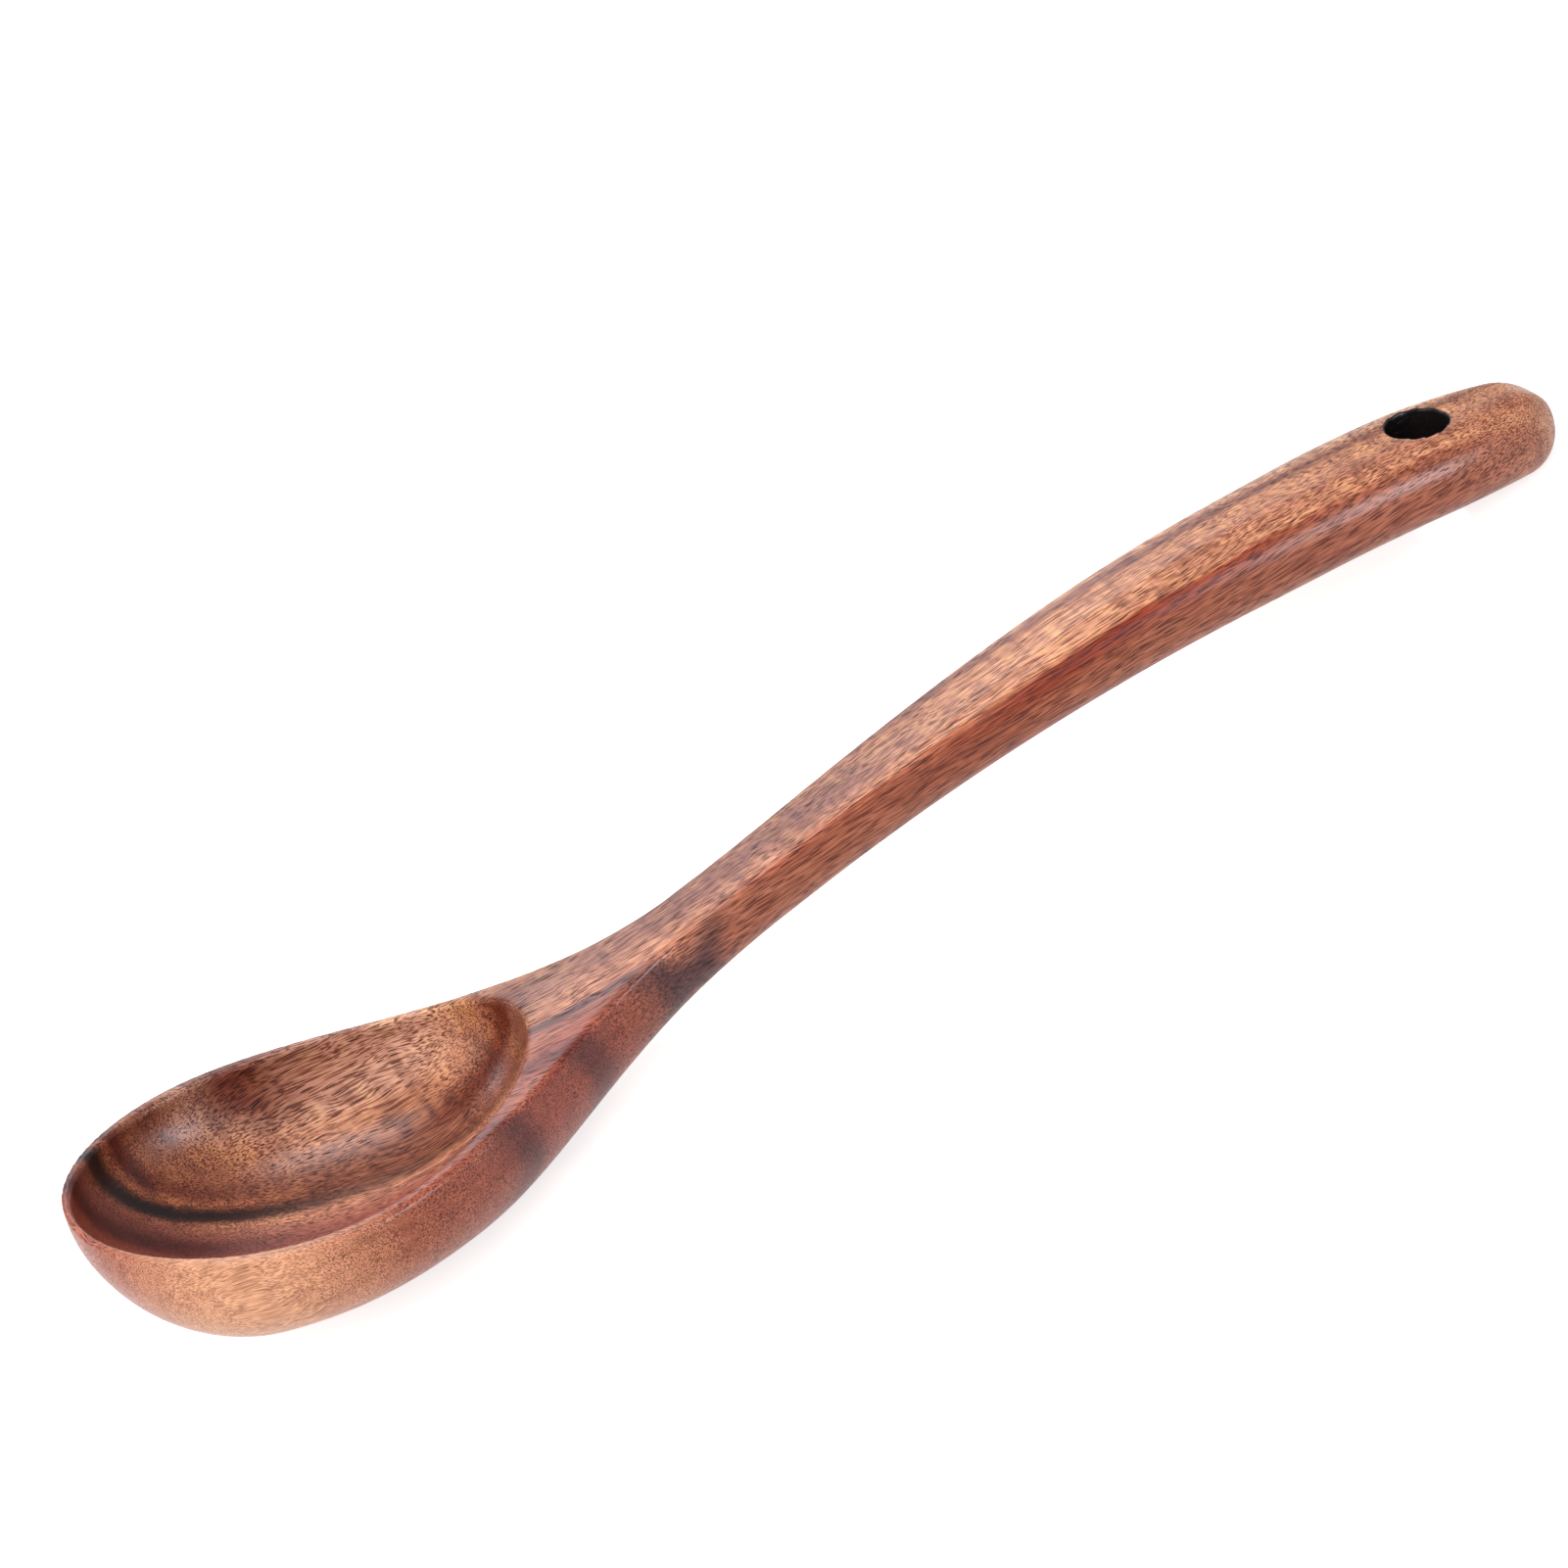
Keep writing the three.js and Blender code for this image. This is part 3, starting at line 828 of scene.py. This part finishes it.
def new_material(name):
    """A material, the short calls for its nodes, and its shader."""
    material = bpy.data.materials.new(name)
    material.use_nodes = True
    return material, Graph(material.node_tree), material.node_tree.nodes["Principled BSDF"]


def wood(hole_middle, hole_axis):
    """Red-brown wood under a satin lacquer, from the board's tone down to its pores."""
    material, g, shader = new_material("wood")
    grain = run_of_grain(g)
    pale = pale_share(g, grain)
    colour = board_colour(g, grain, pale)
    colour = with_ripple(g, grain, colour)
    colour = with_growth_lines(g, grain, colour)
    # Painted sheen on the top of the land beside the hollow
    colour = with_land_sheen(g, grain, colour)
    fibres = fibre_place(g, grain)
    colour = with_fibres(g, grain, fibres, pale, colour)
    pore = pore_share(g, grain, fibres, pale)
    colour = g.tint(pore, colour, PORE_TINT)
    # Painted shade: the wall of the hanging hole is coloured near black
    hole_shadow = hole_shadow_share(g, grain, hole_middle, hole_axis)
    g.feed(shader.inputs["Base Color"], g.blend(hole_shadow, colour, srgb(HOLE_SHADOW_SHADE)))
    shader.inputs["IOR"].default_value = LACQUER_IOR
    roughness = g.remap(pore, 0.0, 1.0, LACQUER_ROUGHNESS, PORE_ROUGHNESS)
    g.feed(shader.inputs["Roughness"], roughness)
    relief = g.math("SUBTRACT", 1.0, pore)
    inputs = {"Height": relief, "Strength": BUMP_STRENGTH, "Distance": PORE_DEPTH * MM}
    g.feed(shader.inputs["Normal"], g.node("ShaderNodeBump", inputs).outputs[0])
    return material


def add_camera():
    azimuth = math.radians(VIEW_AZIMUTH)
    elevation = math.radians(VIEW_ELEVATION)
    roll = math.radians(VIEW_ROLL)
    level = math.cos(elevation)
    forward = Vector((math.sin(azimuth) * level, math.cos(azimuth) * level, -math.sin(elevation)))
    flat_right = Vector((math.cos(azimuth), -math.sin(azimuth), 0))
    flat_up = flat_right.cross(forward)
    right = flat_right * math.cos(roll) + flat_up * math.sin(roll)
    up = right.cross(forward)
    camera = bpy.data.objects.new("camera", bpy.data.cameras.new("camera"))
    place = VIEW_TARGET - forward * VIEW_DISTANCE + right * VIEW_SLIDE[0] + up * VIEW_SLIDE[1]
    camera.matrix_world = Matrix((right, up, -forward)).transposed().to_4x4()
    camera.location = place
    camera.data.lens = LENS
    camera.data.sensor_width = SENSOR
    bpy.context.collection.objects.link(camera)
    bpy.context.scene.camera = camera


def background_share(g):
    """1 for rays that see the background, straight on, reflected or through glass, else 0."""
    path = g.node("ShaderNodeLightPath", {}).outputs
    seen = g.math("MAXIMUM", path["Is Camera Ray"], path["Is Glossy Ray"])
    return g.math("MAXIMUM", seen, path["Is Transmission Ray"])


def add_world():
    world = bpy.data.worlds.new("studio")
    world.use_nodes = True
    g = Graph(world.node_tree)
    background = world.node_tree.nodes["Background"]
    background.inputs["Color"].default_value = WHITE
    strength = g.remap(background_share(g), 0.0, 1.0, AMBIENT, 1.0)
    g.feed(background.inputs["Strength"], strength)
    bpy.context.scene.world = world


def add_floor():
    size = FLOOR_HALF_SIZE
    points = [(-size, -size, 0), (size, -size, 0), (size, size, 0), (-size, size, 0)]
    floor = new_object("floor", points, [(0, 1, 2, 3)])
    floor.location.z = -FLOOR_DROP
    material, g, shader = new_material("floor")
    shader.inputs["Base Color"].default_value = FLOOR_COLOUR
    shader.inputs["Specular IOR Level"].default_value = 0.0
    shader.inputs["Roughness"].default_value = 1.0
    shader.inputs["Emission Color"].default_value = WHITE
    g.feed(shader.inputs["Emission Strength"], g.times(background_share(g), FLOOR_GLOW))
    floor.data.materials.append(material)


def add_lamp(name, place, width, height, power, colour):
    lamp = bpy.data.objects.new(name, bpy.data.lights.new(name, "AREA"))
    lamp.data.shape = "ELLIPSE"
    lamp.data.size = width
    lamp.data.size_y = height
    lamp.data.energy = power
    lamp.data.color = colour
    lamp.location = place
    lamp.rotation_euler = (-Vector(place)).to_track_quat("-Z", "Y").to_euler()
    lamp.visible_camera = False
    bpy.context.collection.objects.link(lamp)
    return lamp


spoon = carve()
hole = lay_on_table(spoon) @ hole_place()
even_out(spoon)
fit_in_box(spoon, CAD_BOX)
spoon.data.polygons.foreach_set("use_smooth", [True] * len(spoon.data.polygons))
spoon.data.materials.append(wood(hole.translation, hole.col[2].xyz))
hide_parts("spoon")
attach(spoon, "root")

add_camera()
add_world()
add_floor()
for lamp in LAMPS:
    add_lamp(*lamp)
for card in CARDS:
    add_lamp(*card).visible_diffuse = False
bpy.context.scene.view_settings.view_transform = "Standard"
